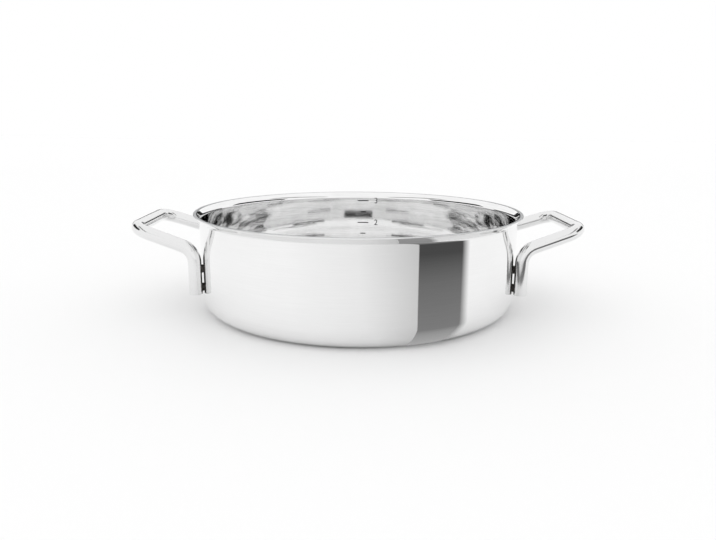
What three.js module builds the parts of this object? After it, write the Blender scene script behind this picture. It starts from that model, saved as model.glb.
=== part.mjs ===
// A low braising pot: a vessel of three-layer clad sheet with a flared pouring lip,
// and two loop handles of bent round bar, each held to the wall by four welds.
// Millimetres, +Z up. The pot stands on Z = 0, its axis is Z, and +X points through a handle.
import * as THREE from 'three';

// Vessel, measured on the outer face of the sheet
const VESSEL_HEIGHT = 75.6;
const WALL_RADIUS = 124;
const BASE_CORNER_RADIUS = 14;
const LIP_NECK_RADIUS = 2;
const LIP_ANGLE_DEGREES = 44;
const LIP_SLANT_LENGTH = 5.85;

// Layers of the clad sheet
const SHELL_THICKNESS = 0.5;
const CORE_THICKNESS = 1.5;
const LINER_THICKNESS = 0.5;

// Handles: centrelines of a round bar bent into a loop with two upright legs
const BAR_DIAMETER = 9.8;
const LEG_STANDOFF = 0.7;
const LEG_SPACING = 90.7;
const LEG_LENGTH = 33.4;
const ELBOW_BELOW_RIM = 24.3;
const GRIP_REACH = 45;
const GRIP_RISE = 14.9;
const GRIP_WIDTH = 78.2;
const ELBOW_BEND_RADIUS = 13;
const GRIP_BEND_RADIUS = 13.5;

// Welds between a leg and the wall
const WELD_WIDTH = 6;
const WELD_HEIGHT = 6;
const LOWER_WELD_INSET = 5;
const WELD_PITCH = 14;
const WELD_GAP = 0.2;

// How finely round forms are divided
const TURN_SEGMENTS = 64;
const CORNER_STEPS = 4;
const NECK_STEPS = 3;
const BAR_SIDES = 16;
const ELBOW_STEPS = 6;
const GRIP_BEND_STEPS = 5;
const WELD_ARC_STEPS = 6;
const ARC_STEPS_PER_CURVE_SEGMENT = 2;

// Values worked out from the sizes above
const LIP_ANGLE = THREE.MathUtils.degToRad(LIP_ANGLE_DEGREES);
const LIP_HEIGHT = LIP_NECK_RADIUS * Math.sin(LIP_ANGLE) + LIP_SLANT_LENGTH * Math.cos(LIP_ANGLE);
const WALL_TOP = VESSEL_HEIGHT - LIP_HEIGHT;
const BAR_RADIUS = BAR_DIAMETER / 2;
const LEG_RADIUS_FROM_AXIS = WALL_RADIUS + LEG_STANDOFF + BAR_RADIUS;
const LEG_BEARING = Math.asin(LEG_SPACING / 2 / LEG_RADIUS_FROM_AXIS);
const LEG_X = LEG_RADIUS_FROM_AXIS * Math.cos(LEG_BEARING);
const ELBOW_Z = VESSEL_HEIGHT - ELBOW_BELOW_RIM;
const LEG_END_Z = ELBOW_Z - LEG_LENGTH;

const FINISH = {
  mirrorSteel: { color: 0xdfe0e1, roughness: 0.06, metalness: 1 },
  linedSteel: { color: 0xd8d9da, roughness: 0.14, metalness: 1 },
  aluminium: { color: 0xc6c8ca, roughness: 0.35, metalness: 1 },
  satinSteel: { color: 0xd4d5d6, roughness: 0.28, metalness: 1 },
  weldSteel: { color: 0xb9babb, roughness: 0.4, metalness: 1 },
};

/** A named piece with a material of its own. */
function piece(name, geometry, finish) {
  const mesh = new THREE.Mesh(geometry, new THREE.MeshStandardMaterial(finish));
  mesh.name = name;
  return mesh;
}

/** Adds an arc's points to a profile, both ends included. */
function addArc(points, centre, radius, fromAngle, toAngle, steps) {
  for (let i = 0; i <= steps; i += 1) {
    const angle = THREE.MathUtils.lerp(fromAngle, toAngle, i / steps);
    const x = centre.x + radius * Math.cos(angle);
    const y = centre.y + radius * Math.sin(angle);
    points.push(new THREE.Vector2(x, y));
  }
}

/** The surface at one depth inside the sheet's outer face, from the axis out to the rim. */
function sheetSurface(depth) {
  const points = [new THREE.Vector2(0, depth)];
  const cornerCentre = new THREE.Vector2(WALL_RADIUS - BASE_CORNER_RADIUS, BASE_CORNER_RADIUS);
  addArc(points, cornerCentre, BASE_CORNER_RADIUS - depth, -Math.PI / 2, 0, CORNER_STEPS);
  const neckCentre = new THREE.Vector2(WALL_RADIUS + LIP_NECK_RADIUS, WALL_TOP);
  addArc(points, neckCentre, LIP_NECK_RADIUS + depth, Math.PI, Math.PI - LIP_ANGLE, NECK_STEPS);
  const neckTop = points.at(-1);
  const rimRadius = neckTop.x + (VESSEL_HEIGHT - neckTop.y) * Math.tan(LIP_ANGLE);
  points.push(new THREE.Vector2(rimRadius, VESSEL_HEIGHT));
  return points;
}

/** One layer of the clad sheet, spun about Z between two depths. */
function sheetLayer(outerDepth, innerDepth) {
  const profile = [...sheetSurface(outerDepth), ...sheetSurface(innerDepth).reverse()];
  return new THREE.LatheGeometry(profile, TURN_SEGMENTS).rotateX(Math.PI / 2);
}

/** The centreline of a bent bar: straight runs joined by circular bends at its corners. */
class BentBarPath extends THREE.Curve {
  constructor(corners, bends) {
    super();
    this.stations = [];
    this.addEnd(corners[0], corners[1].clone().sub(corners[0]));
    bends.forEach((bend, i) => this.addBend(corners[i], corners[i + 1], corners[i + 2], bend));
    this.addEnd(corners.at(-1), corners.at(-1).clone().sub(corners.at(-2)));
  }

  addEnd(point, direction) {
    this.stations.push({ point: point.clone(), tangent: direction.normalize() });
  }

  addBend(before, corner, after, { radius, steps }) {
    const arriving = corner.clone().sub(before).normalize();
    const leaving = after.clone().sub(corner).normalize();
    const turn = arriving.angleTo(leaving);
    const start = corner.clone().addScaledVector(arriving, -radius * Math.tan(turn / 2));
    const inward = leaving.clone().addScaledVector(arriving, -Math.cos(turn)).normalize();
    const centre = start.clone().addScaledVector(inward, radius);
    for (let i = 0; i <= steps; i += 1) {
      const angle = (turn * i) / steps;
      const point = centre.clone()
        .addScaledVector(inward, -radius * Math.cos(angle))
        .addScaledVector(arriving, radius * Math.sin(angle));
      const tangent = arriving.clone()
        .multiplyScalar(Math.cos(angle))
        .addScaledVector(inward, Math.sin(angle));
      this.stations.push({ point, tangent });
    }
  }

  get steps() {
    return this.stations.length - 1;
  }

  stationAt(u) {
    return this.stations[Math.round(u * this.steps)];
  }

  getPointAt(u) {
    return this.stationAt(u).point.clone();
  }

  getTangentAt(u) {
    return this.stationAt(u).tangent.clone();
  }
}

/** The right handle's bar, from the foot of its front leg over the grip to the foot of the other. */
function handleGeometry() {
  const legY = LEG_SPACING / 2;
  const gripX = LEG_X + GRIP_REACH;
  const gripY = GRIP_WIDTH / 2;
  const gripZ = ELBOW_Z + GRIP_RISE;
  const corners = [
    new THREE.Vector3(LEG_X, -legY, LEG_END_Z),
    new THREE.Vector3(LEG_X, -legY, ELBOW_Z),
    new THREE.Vector3(gripX, -gripY, gripZ),
    new THREE.Vector3(gripX, gripY, gripZ),
    new THREE.Vector3(LEG_X, legY, ELBOW_Z),
    new THREE.Vector3(LEG_X, legY, LEG_END_Z),
  ];
  const elbow = { radius: ELBOW_BEND_RADIUS, steps: ELBOW_STEPS };
  const gripBend = { radius: GRIP_BEND_RADIUS, steps: GRIP_BEND_STEPS };
  const path = new BentBarPath(corners, [elbow, gripBend, gripBend, elbow]);
  const section = new THREE.Shape();
  section.absarc(0, 0, BAR_RADIUS, 0, 2 * Math.PI);
  return new THREE.ExtrudeGeometry(section, {
    extrudePath: path,
    steps: path.steps,
    curveSegments: BAR_SIDES / ARC_STEPS_PER_CURVE_SEGMENT,
  });
}

/** A weld that fills the space between wall and leg, saddle-shaped to both, lying on +X. */
function weldGeometry() {
  const wallRadius = WALL_RADIUS + WELD_GAP;
  const legRadius = BAR_RADIUS + WELD_GAP;
  const halfWidth = WELD_WIDTH / 2;
  const wallAngle = Math.asin(halfWidth / wallRadius);
  const legAngle = Math.asin(halfWidth / legRadius);
  const plan = new THREE.Shape();
  plan.absarc(0, 0, wallRadius, wallAngle, -wallAngle, true);
  plan.absarc(LEG_RADIUS_FROM_AXIS, 0, legRadius, Math.PI + legAngle, Math.PI - legAngle, true);
  plan.closePath();
  const weld = new THREE.ExtrudeGeometry(plan, {
    depth: WELD_HEIGHT,
    bevelEnabled: false,
    curveSegments: WELD_ARC_STEPS / ARC_STEPS_PER_CURVE_SEGMENT,
  });
  return weld.translate(0, 0, -WELD_HEIGHT / 2);
}

/** The two welds of one leg, turned to the leg's bearing. */
function legWelds(legName, bearing) {
  const welds = new THREE.Group();
  welds.rotation.z = bearing;
  ['lower', 'upper'].forEach((level, i) => {
    const weld = piece(`weld_${legName}_${level}`, weldGeometry(), FINISH.weldSteel);
    weld.position.z = LEG_END_Z + LOWER_WELD_INSET + i * WELD_PITCH;
    welds.add(weld);
  });
  return welds;
}

/** A handle and its welds, built on +X and turned about the pot's axis to its side. */
function handleAssembly(side, turn, legNames) {
  const assembly = new THREE.Group();
  assembly.rotation.z = turn;
  assembly.add(piece(`${side}_handle`, handleGeometry(), FINISH.satinSteel));
  assembly.add(legWelds(`${side}_${legNames[0]}`, -LEG_BEARING));
  assembly.add(legWelds(`${side}_${legNames[1]}`, LEG_BEARING));
  return assembly;
}

const coreDepth = SHELL_THICKNESS;
const linerDepth = coreDepth + CORE_THICKNESS;
const insideDepth = linerDepth + LINER_THICKNESS;

const pot = new THREE.Group();
pot.name = 'braising_pot';
pot.add(piece('outer_shell', sheetLayer(0, coreDepth), FINISH.mirrorSteel));
pot.add(piece('aluminium_core', sheetLayer(coreDepth, linerDepth), FINISH.aluminium));
pot.add(piece('inner_liner', sheetLayer(linerDepth, insideDepth), FINISH.linedSteel));
pot.add(handleAssembly('right', 0, ['front', 'rear']));
pot.add(handleAssembly('left', Math.PI, ['rear', 'front']));

export default pot;
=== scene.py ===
"""Looks of a low braising pot: polished clad vessel, turned inside, satin bar handles, studio.

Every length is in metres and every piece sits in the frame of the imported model.
"""

import logging
import math
from dataclasses import dataclass, field
from enum import Enum
from typing import Any, Sequence

import bmesh
import bpy
from bpy.types import Material, Mesh, Node, NodeSocket, NodeTree, Object
from mathutils import Matrix, Vector


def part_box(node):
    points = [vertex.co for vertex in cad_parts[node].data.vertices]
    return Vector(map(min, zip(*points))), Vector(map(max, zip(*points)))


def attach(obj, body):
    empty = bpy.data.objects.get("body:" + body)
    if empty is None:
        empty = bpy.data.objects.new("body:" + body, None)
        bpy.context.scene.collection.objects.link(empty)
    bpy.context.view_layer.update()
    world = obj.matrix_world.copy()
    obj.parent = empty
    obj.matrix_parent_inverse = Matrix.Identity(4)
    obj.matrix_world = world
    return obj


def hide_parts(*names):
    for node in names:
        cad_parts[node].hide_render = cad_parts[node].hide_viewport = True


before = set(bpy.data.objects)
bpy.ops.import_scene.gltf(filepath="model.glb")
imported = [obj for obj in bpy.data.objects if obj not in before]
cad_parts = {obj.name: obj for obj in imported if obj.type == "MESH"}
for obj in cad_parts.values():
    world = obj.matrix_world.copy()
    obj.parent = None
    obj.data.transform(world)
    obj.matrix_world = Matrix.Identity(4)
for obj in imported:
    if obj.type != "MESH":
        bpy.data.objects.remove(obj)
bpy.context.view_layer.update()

log = logging.getLogger("braising_pot")

MM = 0.001
BODY = "root"

# Distances under which two points count as one, and the bend from which an edge stays sharp
SEAM_GAP = 1e-6
DOUBLE_GAP = 1e-7
SHARP_ANGLE = math.radians(35)

# Noise, haze and turned lines of the shared surface effects
NOISE_ROUGHNESS = 0.6
HAZE_RANGE = (0.3, 0.7)
HAZE_SHARE = 0.4
LINE_RANGE = (0.35, 0.65)
LINE_RISE = 1.31

Colour = tuple[float, float, float, float]
Masks = tuple[NodeSocket, NodeSocket, NodeSocket]


class Slot(Enum):
    """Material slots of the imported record."""

    OUTSIDE = "polished_outside"
    CORE = "core"
    INSIDE = "turned_inside"
    BAR = "satin_bar"
    WELD = "weld_metal"


class Side(Enum):
    """The two handles, by the sign of X on which they stand."""

    RIGHT = 1
    LEFT = -1


# Node trees

class TreeMaker:
    """Adds nodes to a tree and links them by socket name."""

    def __init__(self, tree: NodeTree) -> None:
        """Keeps the tree that the nodes go into."""
        self.tree = tree

    def add(self, kind: str, settings: dict[str, Any] | None = None, **values: Any) -> Node:
        """Adds one node.

        Args:
            kind: The node's type name.
            settings: Properties of the node itself.
            values: What its inputs are fed with, with spaces in names as underscores.

        Returns:
            The new node.
        """
        node = self.tree.nodes.new(kind)
        for name, value in (settings or {}).items():
            setattr(node, name, value)
        for name, value in values.items():
            self.feed(node, name.replace("_", " "), value)
        return node

    def feed(self, node: Node, name: str | int, value: Any) -> None:
        """Sets an input to a value or links it to an output.

        Args:
            node: The node that has the input.
            name: The input's name or number.
            value: A plain value, an output socket or a node, which stands for its first output.
        """
        source = value.outputs[0] if isinstance(value, Node) else value
        if isinstance(source, NodeSocket):
            self.tree.links.new(source, node.inputs[name])
        else:
            node.inputs[name].default_value = source

    def math(self, operation: str, first: Any, second: Any = 0.0, third: Any = 0.0) -> NodeSocket:
        """One step of the Math node, on up to three numbers or sockets."""
        node = self.add("ShaderNodeMath", {"operation": operation})
        for index, value in enumerate((first, second, third)):
            self.feed(node, index, value)
        return node.outputs[0]

    def remap(self, value: Any, low: float, high: float, to_low: float = 0.0,
              to_high: float = 1.0) -> NodeSocket:
        """Maps a range of numbers to another, clamped.

        Args:
            value: The number's socket.
            low: Start of the range that comes in.
            high: End of the range that comes in.
            to_low: Result at low.
            to_high: Result at high.

        Returns:
            The result's socket.
        """
        node = self.add("ShaderNodeMapRange", {"clamp": True})
        for index, item in enumerate((value, low, high, to_low, to_high)):
            self.feed(node, index, item)
        return node.outputs[0]

    def blend(self, mask: NodeSocket, low: Any, high: Any) -> NodeSocket:
        """Blends two colours, through the Mix node's numbered colour sockets."""
        node = self.add("ShaderNodeMix", {"data_type": "RGBA"})
        for index, value in ((0, mask), (6, low), (7, high)):
            self.feed(node, index, value)
        return node.outputs[2]

    def noise(self, spot: Any, scale: Any = 1.0, detail: float = 4.0) -> NodeSocket:
        """Cloudy noise from 0 to 1, read at a place."""
        node = self.add("ShaderNodeTexNoise", Vector=spot, Scale=scale, Detail=detail,
                        Roughness=NOISE_ROUGHNESS)
        return node.outputs["Fac"]

    def object_place(self) -> NodeSocket:
        """The place on the object."""
        return self.add("ShaderNodeTexCoord").outputs["Object"]

    def split(self, spot: Any) -> list[NodeSocket]:
        """The three coordinates of a place."""
        return list(self.add("ShaderNodeSeparateXYZ", Vector=spot).outputs)

    def effect(self, tree: NodeTree, **values: float) -> NodeSocket:
        """Adds a shared shader group and gives its only output."""
        return self.add("ShaderNodeGroup", {"node_tree": tree}, **values).outputs[0]

    def close(self, value: Any) -> NodeTree:
        """Ends a group with what it gives out."""
        self.feed(self.add("NodeGroupOutput"), 0, value)
        return self.tree


def new_group(name: str, kind: str, inputs: Sequence[tuple[str, str, Any]],
              output: tuple[str, str]) -> tuple[TreeMaker, Any]:
    """Starts a node group with named sockets.

    Args:
        name: The group's name.
        kind: GeometryNodeTree or ShaderNodeTree.
        inputs: Name, socket type and default value of each input.
        output: Name and socket type of its output.

    Returns:
        A maker for the tree and the sockets that its inputs come from, by name.
    """
    tree = bpy.data.node_groups.new(name, kind)
    for label, socket_type, default in inputs:
        socket = tree.interface.new_socket(name=label, in_out="INPUT", socket_type=socket_type)
        if default is not None:
            socket.default_value = default
    tree.interface.new_socket(name=output[0], in_out="OUTPUT", socket_type=output[1])
    maker = TreeMaker(tree)
    return maker, maker.add("NodeGroupInput").outputs


def shader_group(name: str, output: str, **inputs: float) -> tuple[TreeMaker, Any]:
    """Starts a shader group whose sockets are all numbers, with default values for its inputs."""
    sockets = [(label, "NodeSocketFloat", default) for label, default in inputs.items()]
    return new_group(name, "ShaderNodeTree", sockets, (output, "NodeSocketFloat"))


def geometry_group(name: str, source: str, **inputs: float | None) -> tuple[TreeMaker, Any]:
    """Starts a geometry tree that turns a source into a piece with a finish.

    Args:
        name: The tree's name.
        source: Name of the input that takes the object's own mesh.
        inputs: Default values of further inputs, None for an object, with spaces in names as underscores.

    Returns:
        A maker for the tree and the sockets that its inputs come from, by name.
    """
    kinds = {int: "NodeSocketInt", float: "NodeSocketFloat", type(None): "NodeSocketObject"}
    sockets = [(label.replace("_", " "), kinds[type(value)], value) for label, value in inputs.items()]
    sockets = [(source, "NodeSocketGeometry", None), *sockets, ("Finish", "NodeSocketMaterial", None)]
    return new_group(name, "GeometryNodeTree", sockets, ("Piece", "NodeSocketGeometry"))


def finish_tree(maker: TreeMaker, finish: NodeSocket, geometry: Node) -> NodeTree:
    """Ends a geometry tree: plain geometry, smooth shading, finish.

    Args:
        maker: Maker of the tree.
        finish: The socket that its finish comes from.
        geometry: The node that made the piece.

    Returns:
        The whole tree.
    """
    plain = maker.add("GeometryNodeRealizeInstances", Geometry=geometry)
    smooth = maker.add("GeometryNodeSetShadeSmooth", Geometry=plain)
    return maker.close(maker.add("GeometryNodeSetMaterial", Geometry=smooth, Material=finish))


def run_tree(thing: Object, tree: NodeTree, **values: Any) -> None:
    """Runs a geometry tree on an object, as a modifier.

    Args:
        thing: The object.
        tree: The tree.
        values: Values of the tree's inputs, with spaces in names as underscores.
    """
    modifier = thing.modifiers.new(tree.name, "NODES")
    modifier.node_group = tree
    identifiers = {
        item.name: item.identifier
        for item in tree.interface.items_tree
        if item.item_type == "SOCKET" and item.in_out == "INPUT"
    }
    for name, value in values.items():
        modifier[identifiers[name.replace("_", " ")]] = value


# Meshes

def new_object(name: str, data: Any) -> Object:
    """A new object, linked to the scene."""
    thing = bpy.data.objects.new(name, data)
    bpy.context.scene.collection.objects.link(thing)
    return thing


def line_object(name: str, points: Sequence[Sequence[float]], closed: bool = False,
                **attributes: Sequence[float]) -> Object:
    """A chain of points and edges that a geometry tree works on.

    Args:
        name: The object's name.
        points: Places of the points in order.
        closed: Whether the last point joins the first.
        attributes: Values of named point attributes.

    Returns:
        The object, linked to the scene.
    """
    edges = [(i, i + 1) for i in range(len(points) - 1)]
    if closed:
        edges.append((len(points) - 1, 0))
    mesh = bpy.data.meshes.new(name)
    mesh.from_pydata([tuple(point) for point in points], edges, [])
    for label, values in attributes.items():
        attribute = mesh.attributes.new(label, "FLOAT", "POINT")
        attribute.data.foreach_set("value", list(values))
    return new_object(name, mesh)


def flat_object(name: str, corners: Sequence[Sequence[float]], material: Material) -> Object:
    """One flat face, with its corners in order, covered with a material."""
    mesh = bpy.data.meshes.new(name)
    mesh.from_pydata(corners, [], [tuple(range(len(corners)))])
    mesh.materials.append(material)
    return new_object(name, mesh)


def evaluated_mesh(thing: Object) -> Mesh:
    """A plain mesh of what an object and its modifiers make."""
    graph = bpy.context.evaluated_depsgraph_get()
    return bpy.data.meshes.new_from_object(thing.evaluated_get(graph), depsgraph=graph)


def outward(mesh: Mesh) -> None:
    """Merges a closed mesh's doubles and points every face outwards."""
    work = bmesh.new()
    work.from_mesh(mesh)
    bmesh.ops.remove_doubles(work, verts=work.verts, dist=DOUBLE_GAP)
    bmesh.ops.recalc_face_normals(work, faces=work.faces)
    for face in work.faces:
        face.smooth = True
    work.to_mesh(mesh)
    work.free()


def settle(thing: Object) -> Object:
    """Turns an object's evaluated result into a plain mesh and drops its modifiers."""
    mesh = evaluated_mesh(thing)
    mesh.name = thing.name
    thing.modifiers.clear()
    thing.data = mesh
    outward(mesh)
    mesh.set_sharp_from_angle(angle=SHARP_ANGLE)
    return thing


def place(thing: Object, slot: Slot, *nodes: str) -> None:
    """Ties a finished piece to the frame.

    Args:
        thing: The finished piece.
        slot: The record's slot for the piece's finish; not used.
        nodes: CAD nodes that it stands for.
    """
    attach(thing, BODY)
    if nodes:
        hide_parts(*nodes)
    stands_for = ", ".join(nodes) or "nothing"
    log.info("%s: %d faces, stands for %s", thing.name, len(thing.data.polygons), stands_for)


# Shared surface effects

def axis_distance(maker: TreeMaker) -> tuple[NodeSocket, ...]:
    """The three coordinates of the place on the object, and its distance from the pot's axis."""
    x, y, z = maker.split(maker.object_place())
    squares = maker.math("ADD", maker.math("MULTIPLY", x, x), maker.math("MULTIPLY", y, y))
    return x, y, z, maker.math("SQRT", squares)


def polish_haze_group() -> NodeTree:
    """Soft cloudy differences that polishing and handling leave on steel.

    Returns:
        A shader group with Scale as input and Haze, from 0 to 1, as output.
    """
    maker, given = shader_group("polish_haze", "Haze", Scale=30.0)
    noise = maker.noise(maker.object_place(), given["Scale"])
    return maker.close(maker.remap(noise, *HAZE_RANGE))


def turning_lines_group() -> NodeTree:
    """Fine streaks round the pot's axis, as a lathe or a polishing wheel leaves them.

    Returns:
        A shader group with Density, in streaks for each metre, and Length, in metres, as inputs and
        Lines, from 0 to 1, as output.
    """
    maker, given = shader_group("turning_lines", "Lines", Density=1500.0, Length=0.03)
    x, y, z, radius = axis_distance(maker)
    run = maker.math("MULTIPLY_ADD", z, LINE_RISE, radius)
    spot = maker.add("ShaderNodeCombineXYZ",
                     X=maker.math("DIVIDE", x, given["Length"]),
                     Y=maker.math("DIVIDE", y, given["Length"]),
                     Z=maker.math("MULTIPLY", run, given["Density"]))
    return maker.close(maker.noise(spot, detail=3.0))


def bar_grain_group() -> NodeTree:
    """Satin grain that runs along a bent bar, read from the bar's own attributes.

    Returns:
        A shader group with Fineness and Stretch as inputs and Grain, from 0 to 1, as output.
    """
    maker, given = shader_group("bar_grain", "Grain", Fineness=2500.0, Stretch=60.0)
    section = maker.add("ShaderNodeAttribute", {"attribute_name": "section"})
    along = maker.add("ShaderNodeAttribute", {"attribute_name": "along"})
    x, y, _ = maker.split(section.outputs["Vector"])
    spot = maker.add("ShaderNodeCombineXYZ",
                     X=maker.math("MULTIPLY", x, given["Fineness"]),
                     Y=maker.math("MULTIPLY", y, given["Fineness"]),
                     Z=maker.math("MULTIPLY", along.outputs["Fac"], given["Stretch"]))
    return maker.close(maker.noise(spot))


@dataclass
class SurfaceEffects:
    """Shader groups that more than one finish uses."""

    haze: NodeTree = field(default_factory=polish_haze_group)
    lines: NodeTree = field(default_factory=turning_lines_group)
    grain: NodeTree = field(default_factory=bar_grain_group)


# Finishes

def grey(tone: float) -> Colour:
    """A neutral colour."""
    return (tone, tone, tone, 1.0)


def new_material(name: str) -> tuple[Material, TreeMaker]:
    """An empty material and a maker for its tree."""
    material = bpy.data.materials.new(name)
    material.use_nodes = True
    material.node_tree.nodes.clear()
    return material, TreeMaker(material.node_tree)


def with_haze(maker: TreeMaker, mask: NodeSocket, haze: NodeSocket) -> NodeSocket:
    """A mask with a share of the haze in it."""
    part = maker.math("MULTIPLY", mask, 1 - HAZE_SHARE)
    return maker.math("ADD", part, maker.math("MULTIPLY", haze, HAZE_SHARE))


@dataclass(frozen=True)
class MetalFinish:
    """A metal whose tone and gloss change a little over its surface."""

    name: str
    tones: tuple[Colour, Colour]
    roughness: tuple[float, float]
    relief: float
    relief_depth: float
    haze_scale: float = 30.0

    def masks(self, maker: TreeMaker, effects: SurfaceEffects) -> Masks:
        """Three masks from 0 to 1: high tone, dull gloss and height of the relief."""
        raise NotImplementedError

    def colour(self, maker: TreeMaker, tone: NodeSocket) -> NodeSocket:
        """The metal's colour, from its tone mask."""
        return maker.blend(tone, *self.tones)

    def make(self, effects: SurfaceEffects) -> Material:
        """Builds the material.

        Args:
            effects: Shared shader groups.

        Returns:
            The finished material.
        """
        material, maker = new_material(self.name)
        tone, dull, height = self.masks(maker, effects)
        rough = maker.remap(dull, 0.0, 1.0, *self.roughness)
        bump = maker.add("ShaderNodeBump", Strength=self.relief, Distance=self.relief_depth, Height=height)
        shader = maker.add("ShaderNodeBsdfPrincipled", Metallic=1.0, Base_Color=self.colour(maker, tone),
                           Roughness=rough, Normal=bump)
        maker.add("ShaderNodeOutputMaterial", Surface=shader)
        return material


@dataclass(frozen=True)
class WheelPolish(MetalFinish):
    """Steel polished on a wheel round the pot's axis, bright or with visible lines."""

    lines_per_metre: float = 1500.0
    line_length: float = 30 * MM

    def masks(self, maker: TreeMaker, effects: SurfaceEffects) -> Masks:
        """Lines in all three masks, with haze in tone and gloss."""
        haze = maker.effect(effects.haze, Scale=self.haze_scale)
        lines = maker.effect(effects.lines, Density=self.lines_per_metre, Length=self.line_length)
        tone = with_haze(maker, maker.remap(lines, *LINE_RANGE), haze)
        return tone, maker.math("MULTIPLY", haze, lines), lines


@dataclass(frozen=True)
class SatinBar(MetalFinish):
    """Steel bar with a fine satin grain along its length, and painted shade on the legs' side that faces
    the wall.
    """

    haze_scale: float = 60.0
    fineness: float = 2500.0
    stretch: float = 60.0
    # Painted shade: near-black colour on the legs' wall-facing side, between these distances from the axis,
    # standing for the shadow in the gap between leg and wall
    heat_tone: Colour = (0.05, 0.048, 0.045, 1.0)
    heat_radii: tuple[float, float] = (125.3 * MM, 126.4 * MM)

    def masks(self, maker: TreeMaker, effects: SurfaceEffects) -> Masks:
        """Grain in all three masks, with haze in the gloss."""
        grain = maker.effect(effects.grain, Fineness=self.fineness, Stretch=self.stretch)
        haze = maker.effect(effects.haze, Scale=self.haze_scale)
        return grain, with_haze(maker, grain, haze), grain

    def colour(self, maker: TreeMaker, tone: NodeSocket) -> NodeSocket:
        """The steel's colour, near black on the legs' side that faces the wall: painted shade of the narrow
        gap between leg and wall.
        """
        radius = axis_distance(maker)[-1]
        steel = super().colour(maker, tone)
        return maker.blend(maker.remap(radius, *self.heat_radii), self.heat_tone, steel)


@dataclass(frozen=True)
class CastGrain(MetalFinish):
    """Metal with a fine uneven skin, as on a weld or a cut edge."""

    haze_scale: float = 200.0
    grain_scale: float = 900.0

    def masks(self, maker: TreeMaker, effects: SurfaceEffects) -> Masks:
        """Haze in the tone, grain in gloss and relief."""
        grain = maker.noise(maker.object_place(), self.grain_scale, detail=5.0)
        return maker.effect(effects.haze, Scale=self.haze_scale), grain, grain


OUTSIDE = WheelPolish(
    name="mirror_polished_steel", tones=(grey(0.88), grey(0.92)),
    roughness=(0.015, 0.05), relief=0.02, relief_depth=0.02 * MM, lines_per_metre=1800.0,
)
INSIDE = WheelPolish(
    name="turned_bright_steel", tones=(grey(0.84), grey(0.96)),
    roughness=(0.03, 0.07), relief=0.3, relief_depth=0.02 * MM, lines_per_metre=800.0,
)
BAR = SatinBar(
    name="satin_steel_bar", tones=(grey(0.8), grey(0.86)),
    roughness=(0.1, 0.2), relief=0.05, relief_depth=0.05 * MM,
)
CORE = CastGrain(
    name="bare_aluminium_edge", tones=((0.48, 0.49, 0.5, 1.0), (0.58, 0.59, 0.6, 1.0)),
    roughness=(0.2, 0.4), relief=0.05, relief_depth=0.05 * MM,
)
WELD = CastGrain(
    name="weld_bead_steel", tones=((0.12, 0.115, 0.11, 1.0), (0.24, 0.23, 0.22, 1.0)),
    roughness=(0.3, 0.55), relief=0.3, relief_depth=0.2 * MM,
)
MARK = CastGrain(
    name="etched_mark", tones=(grey(0.03), grey(0.06)),
    roughness=(0.5, 0.7), relief=0.1, relief_depth=0.02 * MM,
)


# Vessel

def arc(centre: Vector, radius: float, start: float, end: float, steps: int) -> list[Vector]:
    """Points on a circular arc, both ends included.

    Args:
        centre: Centre of the circle.
        radius: Its radius.
        start: First angle.
        end: Last angle.
        steps: Number of parts.

    Returns:
        The points in order.
    """
    angles = [start + (end - start) * i / steps for i in range(steps + 1)]
    return [centre + radius * Vector((math.cos(angle), math.sin(angle))) for angle in angles]


def spaced(start: Vector, end: Vector, spacing: float) -> list[Vector]:
    """Points along a straight run, spaced no wider than asked, with its start and without its end."""
    count = max(1, math.ceil((end - start).length / spacing))
    return [start.lerp(end, i / count) for i in range(count)]


def rounded(before: Vector, corner: Vector, after: Vector, radius: float, steps: int) -> list[Vector]:
    """Points of a small rounding in place of a corner.

    Args:
        before: A point on the line that arrives.
        corner: The sharp corner.
        after: A point on the line that leaves.
        radius: Radius of the rounding.
        steps: Number of parts.

    Returns:
        Points from the first tangent point to the last.
    """
    arriving = (before - corner).normalized()
    leaving = (after - corner).normalized()
    half = arriving.angle(leaving) / 2
    centre = corner + (arriving + leaving).normalized() * (radius / math.sin(half))
    first = corner + arriving * (radius / math.tan(half)) - centre
    turn = (math.pi - 2 * half) * (1 if arriving.cross(leaving) < 0 else -1)
    points = []
    for i in range(steps + 1):
        angle = turn * i / steps
        cosine, sine = math.cos(angle), math.sin(angle)
        turned = Vector((first.x * cosine - first.y * sine, first.x * sine + first.y * cosine))
        points.append(centre + turned)
    return points


@dataclass
class SheetForm:
    """The section of the clad sheet, measured on its outer face."""

    height: float
    wall_radius: float = 124 * MM
    corner_radius: float = 14 * MM
    neck_radius: float = 2 * MM
    lip_angle: float = math.radians(44)
    lip_slant: float = 5.85 * MM
    ring_spacing: float = 3 * MM
    corner_steps: int = 18
    neck_steps: int = 12

    @property
    def wall_top(self) -> float:
        """Height where the straight wall ends and the neck begins."""
        rise = self.neck_radius * math.sin(self.lip_angle) + self.lip_slant * math.cos(self.lip_angle)
        return self.height - rise

    def surface(self, depth: float) -> list[Vector]:
        """Points of the surface at one depth inside the outer face.

        Args:
            depth: Distance inside the outer face.

        Returns:
            Points (radius, height) from the axis to the rim, close enough for smooth reflections.
        """
        corner = Vector((self.wall_radius - self.corner_radius, self.corner_radius))
        neck = Vector((self.wall_radius + self.neck_radius, self.wall_top))
        corner_arc = arc(corner, self.corner_radius - depth, -math.pi / 2, 0.0, self.corner_steps)
        neck_arc = arc(neck, self.neck_radius + depth, math.pi, math.pi - self.lip_angle, self.neck_steps)
        run = self.height - neck_arc[-1].y
        rim = Vector((neck_arc[-1].x + run * math.tan(self.lip_angle), self.height))
        points = spaced(Vector((0.0, depth)), corner_arc[0], self.ring_spacing)
        points += corner_arc
        points += spaced(corner_arc[-1], neck_arc[0], self.ring_spacing)[1:]
        points += neck_arc
        points += spaced(neck_arc[-1], rim, self.ring_spacing / 2)[1:]
        points.append(rim)
        return points


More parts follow.
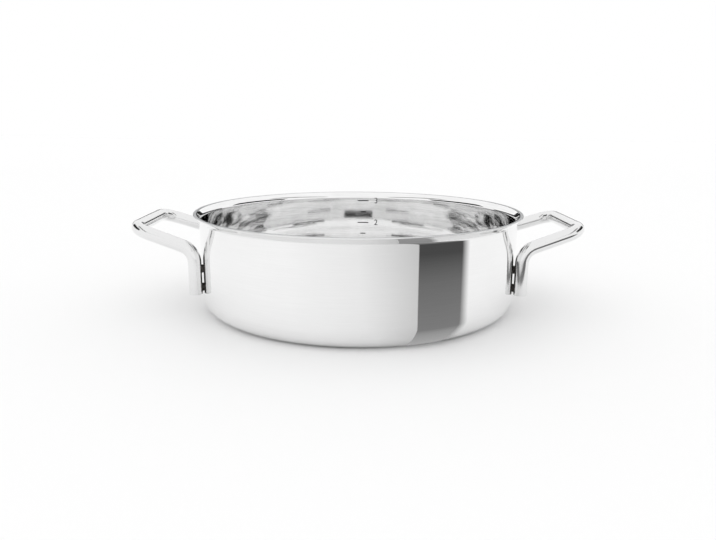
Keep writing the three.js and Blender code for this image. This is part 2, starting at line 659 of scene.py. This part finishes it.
def spin_tree() -> NodeTree:
    """A tree that spins a closed section about Z.

    Returns:
        A geometry tree with Segments, Hub and Finish as inputs. Hub is the radius that the
        section's X is counted from.
    """
    maker, given = geometry_group("spin_section", "Section", Segments=96, Hub=0.05)
    section = maker.add("GeometryNodeMeshToCurve", Mesh=given["Section"])
    circle = maker.add("GeometryNodeCurvePrimitiveCircle", Resolution=given["Segments"],
                       Radius=given["Hub"])
    upright = maker.add("GeometryNodeSetCurveNormal", {"mode": "Z_UP"}, Curve=circle)
    swept = maker.add("GeometryNodeCurveToMesh", Curve=upright, Profile_Curve=section, Fill_Caps=False)
    merged = maker.add("GeometryNodeMergeByDistance", Geometry=swept, Distance=SEAM_GAP)
    return finish_tree(maker, given["Finish"], merged)


@dataclass
class Vessel:
    """The clad vessel: outer shell, aluminium core and inner liner."""

    form: SheetForm
    shell_thickness: float = 0.5 * MM
    core_thickness: float = 1.5 * MM
    liner_thickness: float = 0.5 * MM
    outer_edge_radius: float = 0.3 * MM
    inner_edge_radius: float = 0.5 * MM
    edge_steps: int = 6
    segments: int = 256
    hub: float = 50 * MM

    @property
    def inside_depth(self) -> float:
        """Distance of the inside surface from the outer face."""
        return self.shell_thickness + self.core_thickness + self.liner_thickness

    def section(self, outer_depth: float, inner_depth: float) -> list[Vector]:
        """The closed section of one layer.

        Args:
            outer_depth: Depth of its outer surface.
            inner_depth: Depth of its inner surface.

        Returns:
            Points (radius, height) round the section.
        """
        outer = self.form.surface(outer_depth)
        inner = self.form.surface(inner_depth)
        if outer_depth == 0.0:
            outer[-1:] = rounded(outer[-2], outer[-1], inner[-1], self.outer_edge_radius, self.edge_steps)
        if inner_depth == self.inside_depth:
            inner[-1:] = rounded(inner[-2], inner[-1], outer[-1], self.inner_edge_radius, self.edge_steps)
        return outer + inner[::-1]

    def layer(self, name: str, depths: tuple[float, float], tree: NodeTree, finish: Material) -> Object:
        """Spins one layer.

        Args:
            name: The piece's name.
            depths: Depths of its outer and inner surfaces.
            tree: The spinning tree.
            finish: Its material.

        Returns:
            The finished piece.
        """
        points = [(point.x - self.hub, -point.y, 0.0) for point in self.section(*depths)]
        thing = line_object(name, points, closed=True)
        run_tree(thing, tree, Segments=self.segments, Hub=self.hub, Finish=finish)
        return settle(thing)

    def build(self, effects: SurfaceEffects) -> None:
        """Builds and dresses the three layers.

        Args:
            effects: Shared shader groups.
        """
        tree = spin_tree()
        core_depth = self.shell_thickness
        liner_depth = core_depth + self.core_thickness
        shell = self.layer("polished_shell", (0.0, core_depth), tree, OUTSIDE.make(effects))
        place(shell, Slot.OUTSIDE, "outer_shell")
        core = self.layer("clad_core", (core_depth, liner_depth), tree, CORE.make(effects))
        place(core, Slot.CORE, "aluminium_core")
        liner = self.layer("turned_liner", (liner_depth, self.inside_depth), tree, INSIDE.make(effects))
        place(liner, Slot.INSIDE, "inner_liner")


# Handles

def bent_bar_tree() -> NodeTree:
    """A tree that rounds a path's corners and runs a round bar along it.

    Returns:
        A geometry tree with Bar Radius, Sides, Bend Steps and Finish as inputs. The path's points
        carry their bend radius in the attribute bend_radius.
    """
    maker, given = geometry_group("bent_bar", "Path", Bar_Radius=0.004, Sides=32, Bend_Steps=16)
    path = maker.add("GeometryNodeMeshToCurve", Mesh=given["Path"])
    bend = maker.add("GeometryNodeInputNamedAttribute", {"data_type": "FLOAT"}, Name="bend_radius")
    fillet = maker.add("GeometryNodeFilletCurve", {"mode": "POLY"}, Curve=path,
                       Radius=bend.outputs["Attribute"], Count=given["Bend Steps"])
    length = maker.add("GeometryNodeSplineParameter")
    measured = maker.add("GeometryNodeStoreNamedAttribute", {"data_type": "FLOAT", "domain": "POINT"},
                         Geometry=fillet, Name="along", Value=length.outputs["Length"])
    circle = maker.add("GeometryNodeCurvePrimitiveCircle", Resolution=given["Sides"],
                       Radius=given["Bar Radius"])
    spot = maker.add("GeometryNodeInputPosition")
    section = maker.add("GeometryNodeStoreNamedAttribute", {"data_type": "FLOAT_VECTOR", "domain": "POINT"},
                        Geometry=circle, Name="section", Value=spot)
    bar = maker.add("GeometryNodeCurveToMesh", Curve=measured, Profile_Curve=section, Fill_Caps=True)
    return finish_tree(maker, given["Finish"], bar)


@dataclass
class LoopHandle:
    """One loop of bent round bar with two upright legs."""

    side: Side
    rim_height: float
    leg_radius_from_axis: float = 129.6 * MM
    bar_radius: float = 4.9 * MM
    leg_spacing: float = 90.7 * MM
    leg_length: float = 33.4 * MM
    elbow_below_rim: float = 24.3 * MM
    grip_reach: float = 45 * MM
    grip_rise: float = 14.9 * MM
    grip_width: float = 78.2 * MM
    elbow_bend: float = 13 * MM
    grip_bend: float = 13.5 * MM
    end_rounding: float = 0.5 * MM
    end_steps: int = 3
    end_angle: float = math.radians(60)
    sides: int = 48
    bend_steps: int = 24

    @property
    def leg_bearing(self) -> float:
        """Angle between the handle's middle and a leg, seen from the pot's axis."""
        return math.asin(self.leg_spacing / 2 / self.leg_radius_from_axis)

    @property
    def elbow_height(self) -> float:
        """Height of the corner between leg and arm."""
        return self.rim_height - self.elbow_below_rim

    @property
    def leg_end(self) -> float:
        """Height of the legs' cut ends."""
        return self.elbow_height - self.leg_length

    def path(self) -> list[Vector]:
        """Corners of the bar's centreline from the foot of one leg to the other."""
        sign = self.side.value
        leg_x = sign * self.leg_radius_from_axis * math.cos(self.leg_bearing)
        grip_x = leg_x + sign * self.grip_reach
        leg_y = self.leg_spacing / 2
        grip_y = self.grip_width / 2
        grip_z = self.elbow_height + self.grip_rise
        half = [
            Vector((leg_x, -leg_y, self.leg_end)),
            Vector((leg_x, -leg_y, self.elbow_height)),
            Vector((grip_x, -grip_y, grip_z)),
        ]
        return half + [Vector((point.x, -point.y, point.z)) for point in reversed(half)]

    def build(self, tree: NodeTree, finish: Material) -> None:
        """Builds and dresses the handle.

        Args:
            tree: The bar tree.
            finish: Its material.
        """
        name = self.side.name.lower()
        bends = [0.0, self.elbow_bend, self.grip_bend, self.grip_bend, self.elbow_bend, 0.0]
        thing = line_object(f"{name}_loop_handle", self.path(), bend_radius=bends)
        run_tree(thing, tree, Bar_Radius=self.bar_radius, Sides=self.sides, Bend_Steps=self.bend_steps,
                 Finish=finish)
        bevel = thing.modifiers.new("end_rounding", "BEVEL")
        bevel.width = self.end_rounding
        bevel.segments = self.end_steps
        bevel.limit_method = "ANGLE"
        bevel.angle_limit = self.end_angle
        place(settle(thing), Slot.BAR, f"{name}_handle")


# Welds

def weld_rows_tree() -> NodeTree:
    """A tree that sets a bead on every point of a row.

    Returns:
        A geometry tree with Bead and Finish as inputs. The points carry their bearing about Z in the
        attribute bearing.
    """
    maker, given = geometry_group("weld_rows", "Points", Bead=None)
    spots = maker.add("GeometryNodeMeshToPoints", Mesh=given["Points"])
    bead = maker.add("GeometryNodeObjectInfo", {"transform_space": "ORIGINAL"}, Object=given["Bead"])
    bearing = maker.add("GeometryNodeInputNamedAttribute", {"data_type": "FLOAT"}, Name="bearing")
    turn = maker.add("ShaderNodeCombineXYZ", Z=bearing.outputs["Attribute"])
    set_on = maker.add("GeometryNodeInstanceOnPoints", Points=spots, Instance=bead.outputs["Geometry"],
                       Rotation=turn)
    return finish_tree(maker, given["Finish"], set_on)


@dataclass
class LegWelds:
    """The weld beads that fill the narrow space between each leg and the wall."""

    wall_radius: float
    handle: LoopHandle
    half_width: float = 3 * MM
    half_height: float = 3 * MM
    tip_share: float = 0.25
    lower_inset: float = 5 * MM
    pitch: float = 14 * MM
    rows: int = 2
    bite: float = 0.04 * MM
    hollow: float = 0.35
    face_points: int = 9
    levels: int = 10

    def ring(self, width: float, height: float) -> list[Vector]:
        """One level of a bead: the wall's curve, a hollow flank, the leg's curve, a hollow flank.

        Args:
            width: Half of the bead's width at this level.
            height: Height of the level.

        Returns:
            Points in order round the level.
        """
        wall = self.wall_radius - self.bite
        leg = self.handle.bar_radius - self.bite
        leg_centre = self.handle.leg_radius_from_axis
        on_wall = []
        on_leg = []
        for i in range(self.face_points):
            side = width * (2 * i / (self.face_points - 1) - 1)
            on_wall.append(Vector((math.sqrt(wall**2 - side**2), side, height)))
            on_leg.append(Vector((leg_centre - math.sqrt(leg**2 - side**2), side, height)))
        right = self.flank(on_wall[-1], on_leg[-1])
        left = self.flank(on_leg[0], on_wall[0])
        return on_wall + [right] + on_leg[::-1] + [left]

    def flank(self, start: Vector, end: Vector) -> Vector:
        """The middle of a hollow flank between wall and leg."""
        middle = start.lerp(end, 0.5)
        middle.y *= 1 - self.hollow
        return middle

    def bead(self) -> Object:
        """One bead, lying on +X at height 0, with rounded ends.

        Returns:
            The bead's object, which the rows are made from.
        """
        work = bmesh.new()
        rings = []
        for level in range(self.levels + 1):
            rise = 2 * level / self.levels - 1
            bulge = math.sqrt(max(0.0, 1 - rise**2))
            width = self.half_width * (self.tip_share + (1 - self.tip_share) * bulge)
            rings.append([work.verts.new(point) for point in self.ring(width, self.half_height * rise)])
        for low, high in zip(rings, rings[1:]):
            for i in range(len(low)):
                after = (i + 1) % len(low)
                work.faces.new((low[i], low[after], high[after], high[i]))
        work.faces.new(rings[0][::-1])
        work.faces.new(rings[-1])
        mesh = bpy.data.meshes.new("weld_bead")
        work.to_mesh(mesh)
        work.free()
        return bpy.data.objects.new("weld_bead", mesh)

    def build(self, finish: Material, nodes: Sequence[str]) -> None:
        """Builds and dresses all beads.

        Args:
            finish: Their material.
            nodes: CAD nodes that they stand for.
        """
        leg = self.handle.leg_bearing
        bearings = [turn + sign * leg for turn in (0.0, math.pi) for sign in (-1, 1)]
        spots = []
        for row in range(self.rows):
            height = self.handle.leg_end + self.lower_inset + row * self.pitch
            spots += [(0.0, 0.0, height)] * len(bearings)
        bead = self.bead()
        thing = line_object("leg_welds", spots, bearing=bearings * self.rows)
        run_tree(thing, weld_rows_tree(), Bead=bead, Finish=finish)
        settle(thing)
        bpy.data.objects.remove(bead)
        place(thing, Slot.WELD, *nodes)


# Litre scale

def wrap_tree() -> NodeTree:
    """A tree that thickens a flat layout and wraps it on the far inside wall and neck.

    Returns:
        A geometry tree with Neck Height, Neck Centre, Neck Radius, Thickness, Sunk and Finish as
        inputs. The layout's X runs round the wall, its Y is height.
    """
    maker, given = geometry_group("wrap_on_wall", "Layout", Neck_Height=0.06, Neck_Centre=0.13,
                                  Neck_Radius=0.015, Thickness=0.0001, Sunk=0.00005)
    lift = maker.add("ShaderNodeCombineXYZ", Z=given["Thickness"])
    raised = maker.add("GeometryNodeExtrudeMesh", {"mode": "FACES"}, Mesh=given["Layout"], Offset=lift,
                       Offset_Scale=1.0, Individual=False)
    back = maker.add("GeometryNodeFlipFaces", Mesh=given["Layout"])
    joined = maker.add("GeometryNodeJoinGeometry")
    maker.feed(joined, "Geometry", raised)
    maker.feed(joined, "Geometry", back)
    closed = maker.add("GeometryNodeMergeByDistance", Geometry=joined, Distance=SEAM_GAP)
    x, height, lifted = maker.split(maker.add("GeometryNodeInputPosition"))
    over = maker.math("MAXIMUM", maker.math("SUBTRACT", height, given["Neck Height"]), 0.0)
    radius_squared = maker.math("MULTIPLY", given["Neck Radius"], given["Neck Radius"])
    run = maker.math("SQRT", maker.math("SUBTRACT", radius_squared, maker.math("MULTIPLY", over, over)))
    wall = maker.math("SUBTRACT", given["Neck Centre"], run)
    out = maker.math("SUBTRACT", maker.math("ADD", wall, given["Sunk"]), lifted)
    angle = maker.math("DIVIDE", x, wall)
    wrapped = maker.add("ShaderNodeCombineXYZ",
                        X=maker.math("MULTIPLY", out, maker.math("SINE", angle)),
                        Y=maker.math("MULTIPLY", out, maker.math("COSINE", angle)),
                        Z=height)
    moved = maker.add("GeometryNodeSetPosition", Geometry=closed, Position=wrapped)
    return finish_tree(maker, given["Finish"], moved)


@dataclass
class LitreScale:
    """Marks for every half litre and numerals for whole litres, etched on the far inside wall."""

    form: SheetForm
    sheet_thickness: float
    centre: float = 5.6 * MM
    long_mark: float = 10.6 * MM
    short_mark: float = 5.2 * MM
    mark_width: float = 0.9 * MM
    numeral_centre: float = 18.3 * MM
    numeral_height: float = 5.6 * MM
    font_size_for_height: float = 1.4
    litre_rise: float = 21.56 * MM
    first_half_litre: float = 13.7 * MM
    half_litres: int = 6
    thickness: float = 0.1 * MM
    sunk: float = 0.05 * MM
    parts: int = 10

    def mark_height(self, half_litres: int) -> float:
        """Height of one mark above the base."""
        return self.first_half_litre + (half_litres - 1) * self.litre_rise / 2

    def add_mark(self, work: bmesh.types.BMesh, half_litres: int) -> None:
        """Adds one flat mark to the layout.

        Args:
            work: The layout.
            half_litres: Its value in half litres; an even value is a whole litre and gets a long mark.
        """
        length = self.long_mark if half_litres % 2 == 0 else self.short_mark
        height = self.mark_height(half_litres)
        low = []
        high = []
        for i in range(self.parts + 1):
            across = self.centre + length * (i / self.parts - 0.5)
            low.append(work.verts.new((across, height - self.mark_width / 2, 0.0)))
            high.append(work.verts.new((across, height + self.mark_width / 2, 0.0)))
        for i in range(self.parts):
            work.faces.new((low[i], low[i + 1], high[i + 1], high[i]))

    def add_numeral(self, work: bmesh.types.BMesh, litres: int) -> None:
        """Adds one flat numeral beside its mark.

        Args:
            work: The layout.
            litres: The number to write.
        """
        curve = bpy.data.curves.new("litre_numeral", "FONT")
        curve.body = str(litres)
        curve.align_x = "CENTER"
        curve.align_y = "CENTER"
        curve.size = self.numeral_height * self.font_size_for_height
        thing = new_object("litre_numeral", curve)
        mesh = evaluated_mesh(thing)
        mesh.transform(Matrix.Translation((self.numeral_centre, self.mark_height(2 * litres), 0.0)))
        work.from_mesh(mesh)
        bpy.data.objects.remove(thing)
        bpy.data.curves.remove(curve)
        bpy.data.meshes.remove(mesh)

    def build(self, finish: Material) -> None:
        """Builds and dresses the scale.

        Args:
            finish: Its material.
        """
        work = bmesh.new()
        for half_litres in range(1, self.half_litres + 1):
            self.add_mark(work, half_litres)
            if half_litres % 2 == 0:
                self.add_numeral(work, half_litres // 2)
        bmesh.ops.remove_doubles(work, verts=work.verts, dist=SEAM_GAP)
        mesh = bpy.data.meshes.new("litre_scale")
        work.to_mesh(mesh)
        work.free()
        thing = new_object("litre_scale", mesh)
        run_tree(thing, wrap_tree(), Neck_Height=self.form.wall_top,
                 Neck_Centre=self.form.wall_radius + self.form.neck_radius,
                 Neck_Radius=self.form.neck_radius + self.sheet_thickness,
                 Thickness=self.thickness, Sunk=self.sunk, Finish=finish)
        place(settle(thing), Slot.INSIDE)


# Studio

@dataclass
class PhotoCamera:
    """The camera, at the photograph's place and angle."""

    focal_px: float = 655.4
    image_width_px: float = 716.0
    distance: float = 534.3 * MM
    elevation: float = math.radians(13.15)
    turn: float = math.radians(-0.45)
    roll: float = math.radians(0.34)
    aim_height: float = 26.05 * MM
    near_limit: float = 10 * MM

    def build(self) -> None:
        """Makes the camera and gives it to the scene."""
        data = bpy.data.cameras.new("photo_camera")
        data.lens = data.sensor_width * self.focal_px / self.image_width_px
        data.clip_start = self.near_limit
        thing = new_object("photo_camera", data)
        pitch = Matrix.Rotation(math.pi / 2 - self.elevation, 4, "X")
        swing = Matrix.Rotation(self.turn, 4, "Z") @ pitch @ Matrix.Rotation(self.roll, 4, "Z")
        aim = Matrix.Translation((0.0, 0.0, self.aim_height))
        thing.matrix_world = aim @ swing @ Matrix.Translation((0.0, 0.0, self.distance))
        bpy.context.scene.camera = thing


def tone_ramp(maker: TreeMaker, share: NodeSocket, stops: Sequence[tuple[float, float]]) -> NodeSocket:
    """A grey that follows a value through a few stops.

    Args:
        maker: Maker of the material's tree.
        share: The value, from 0 to 1.
        stops: Places along the value and the grey at each.

    Returns:
        The grey.
    """
    node = maker.add("ShaderNodeValToRGB", Fac=share)
    ramp = node.color_ramp
    while len(ramp.elements) < len(stops):
        ramp.elements.new(0.5)
    for element, (position, tone) in zip(ramp.elements, stops):
        element.position = position
        element.color = grey(tone)
    return node.outputs["Color"]


def dark_in_steel(maker: TreeMaker, plain: Node, tone: Any, cover: Any = 1.0) -> None:
    """Ends a material that is plain to the camera and dark where a mirror image shows it.

    Args:
        maker: Maker of the material's tree.
        plain: The shader that the camera sees.
        tone: The dark colour or its socket.
        cover: Share of the dark colour, from 0 to 1.
    """
    path = maker.add("ShaderNodeLightPath")
    share = maker.math("MULTIPLY", cover, path.outputs["Is Glossy Ray"])
    dark = maker.add("ShaderNodeEmission", Color=tone)
    mix = maker.add("ShaderNodeMixShader", Fac=share)
    maker.feed(mix, 1, plain)
    maker.feed(mix, 2, dark)
    maker.add("ShaderNodeOutputMaterial", Surface=mix)


@dataclass(frozen=True)
class BackdropPanel:
    """A flat dark panel that stands far from the pot and is seen only in the steel."""

    name: str
    corners: tuple[tuple[float, float, float], ...]

    def mirrored(self, name: str) -> "BackdropPanel":
        """The same panel on the other side of the pot."""
        return BackdropPanel(name, tuple((-x, y, z) for x, y, z in self.corners))

    def build(self, material: Material) -> None:
        """Makes the panel.

        Args:
            material: The dark cloth that it is covered with.
        """
        thing = flat_object(self.name, self.corners, material)
        thing.visible_diffuse = False
        thing.visible_shadow = False


@dataclass(frozen=True)
class FloorShade:
    """A dark wedge of the floor that fans out from a point by the pot, seen only in the steel.

    It opens to +Y or -Y by the sign of facing. Its stops are bearings in degrees and the share of
    dark at each.
    """

    apex: tuple[float, float]
    facing: float
    stops: tuple[tuple[float, float], ...]
    span: tuple[float, float] = (-60.0, 120.0)

    def cover(self, maker: TreeMaker, x: NodeSocket, y: NodeSocket) -> NodeSocket:
        """The share of the dark tone at a place on the floor.

        Args:
            maker: Maker of the floor's tree.
            x: The place's first coordinate.
            y: The place's second coordinate.

        Returns:
            A value from 0 to 1.
        """
        start, end = self.span
        away = maker.math("MULTIPLY", maker.math("SUBTRACT", x, self.apex[0]), -self.facing)
        ahead = maker.math("MULTIPLY", maker.math("SUBTRACT", y, self.apex[1]), self.facing)
        bearing = maker.math("DEGREES", maker.math("ARCTAN2", away, ahead))
        stops = [((angle - start) / (end - start), share) for angle, share in self.stops]
        return tone_ramp(maker, maker.remap(bearing, start, end), stops)


FRONT_SHADE = FloorShade(
    apex=(14.2 * MM, -90.8 * MM), facing=-1.0,
    stops=((-55.0, 0.0), (-3.0, 0.12), (40.6, 0.42), (41.2, 1.0), (75.0, 1.0), (81.5, 0.0)),
)
REAR_SHADE = FloorShade(
    apex=(0.0, 74.5 * MM), facing=1.0,
    stops=((-57.0, 0.0), (-20.0, 0.1), (6.9, 0.35), (7.5, 1.0), (25.0, 1.0), (32.0, 0.0)),
)
REAR_PANEL = BackdropPanel("rear_panel", (
    (-1.45, 1.5, 0.17), (0.0, 1.5, 0.12), (1.45, 1.5, 0.17),
    (1.45, 1.5, 0.42), (0.0, 1.5, 0.31), (-1.45, 1.5, 0.42),
))
LEFT_PANEL = BackdropPanel("left_panel", (
    (-1.3, -2.2, 1.46), (-1.3, 0.25, 1.46), (-1.1, 0.25, 1.62), (-1.1, -2.2, 1.62),
))
LEFT_LOW_PANEL = BackdropPanel("left_low_panel", (
    (-1.2, -0.5, 0.36), (-1.2, 0.8, 0.36), (-1.2, 0.8, 0.9), (-1.2, -0.5, 0.9),
))
PANELS = (
    REAR_PANEL, LEFT_PANEL, LEFT_PANEL.mirrored("right_panel"),
    LEFT_LOW_PANEL, LEFT_LOW_PANEL.mirrored("right_low_panel"),
)


@dataclass
class Studio:
    """Pale floor, white surroundings, one soft lamp and a few far dark panels that the steel mirrors."""

    floor_size: float = 8.0
    floor_drop: float = 0.1 * MM
    floor_tone: float = 0.9
    floor_roughness: float = 0.9
    floor_specular: float = 0.1
    shade_reach: float = 500 * MM
    shade_tones: tuple[tuple[float, float], ...] = ((0.22, 0.45), (0.3, 0.22), (0.58, 0.16), (0.84, 0.07))
    panel_tone: float = 0.02
    lamp_strength: float = 0.4
    lamp_spread: float = math.radians(90)
    lamp_tilt: tuple[float, float, float] = (math.radians(20), math.radians(-15), 0.0)
    mirror_bounces: int = 12

    def build(self) -> None:
        """Makes the whole studio."""
        self.world()
        self.floor()
        self.lamp()
        cloth = self.cloth()
        for panel in PANELS:
            panel.build(cloth)
        bpy.context.scene.view_settings.view_transform = "Standard"
        bpy.context.scene.cycles.glossy_bounces = self.mirror_bounces

    def world(self) -> None:
        """White surroundings."""
        world = bpy.data.worlds.new("white_room")
        world.use_nodes = True
        background = world.node_tree.nodes["Background"]
        background.inputs["Color"].default_value = grey(1.0)
        background.inputs["Strength"].default_value = 1.0
        bpy.context.scene.world = world

    def cloth(self) -> Material:
        """The panels' dark cloth, which the camera sees through."""
        material, maker = new_material("dark_cloth")
        dark_in_steel(maker, maker.add("ShaderNodeBsdfTransparent"), grey(self.panel_tone))
        return material

    def floor(self) -> None:
        """A wide pale floor."""
        half = self.floor_size / 2
        corners = [(-half, -half), (half, -half), (half, half), (-half, half)]
        places = [(x, y, -self.floor_drop) for x, y in corners]
        thing = flat_object("studio_floor", places, self.floor_material())

    def floor_material(self) -> Material:
        """A pale matt floor, with two dark wedges in the steel's view of it."""
        material, maker = new_material("pale_floor")
        pale = maker.add("ShaderNodeBsdfPrincipled", Base_Color=grey(self.floor_tone),
                         Roughness=self.floor_roughness, Specular_IOR_Level=self.floor_specular)
        spot = maker.object_place()
        x, y, _ = maker.split(spot)
        covers = [shade.cover(maker, x, y) for shade in (FRONT_SHADE, REAR_SHADE)]
        run = maker.add("ShaderNodeVectorMath", {"operation": "LENGTH"}, Vector=spot).outputs["Value"]
        tone = tone_ramp(maker, maker.math("DIVIDE", run, self.shade_reach), self.shade_tones)
        dark_in_steel(maker, pale, tone, maker.math("MAXIMUM", *covers))
        return material

    def lamp(self) -> None:
        """One wide soft lamp above the pot."""
        data = bpy.data.lights.new("overhead_lamp", "SUN")
        data.energy = self.lamp_strength
        data.angle = self.lamp_spread
        thing = new_object("overhead_lamp", data)
        thing.rotation_euler = self.lamp_tilt
        thing.visible_glossy = False


def main() -> None:
    """Builds the pot piece by piece, then the studio."""
    logging.basicConfig(level=logging.INFO, format="%(name)s %(message)s")
    effects = SurfaceEffects()
    _, shell_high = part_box("outer_shell")
    form = SheetForm(height=shell_high.z)
    vessel = Vessel(form)
    vessel.build(effects)
    bar_tree = bent_bar_tree()
    bar_finish = BAR.make(effects)
    for side in Side:
        handle = LoopHandle(side, form.height)
        handle.build(bar_tree, bar_finish)
    welds = LegWelds(form.wall_radius, handle)
    welds.build(WELD.make(effects), [node for node in sorted(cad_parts) if node.startswith("weld_")])
    LitreScale(form, vessel.inside_depth).build(MARK.make(effects))
    PhotoCamera().build()
    Studio().build()


if __name__ == "__main__":
    main()
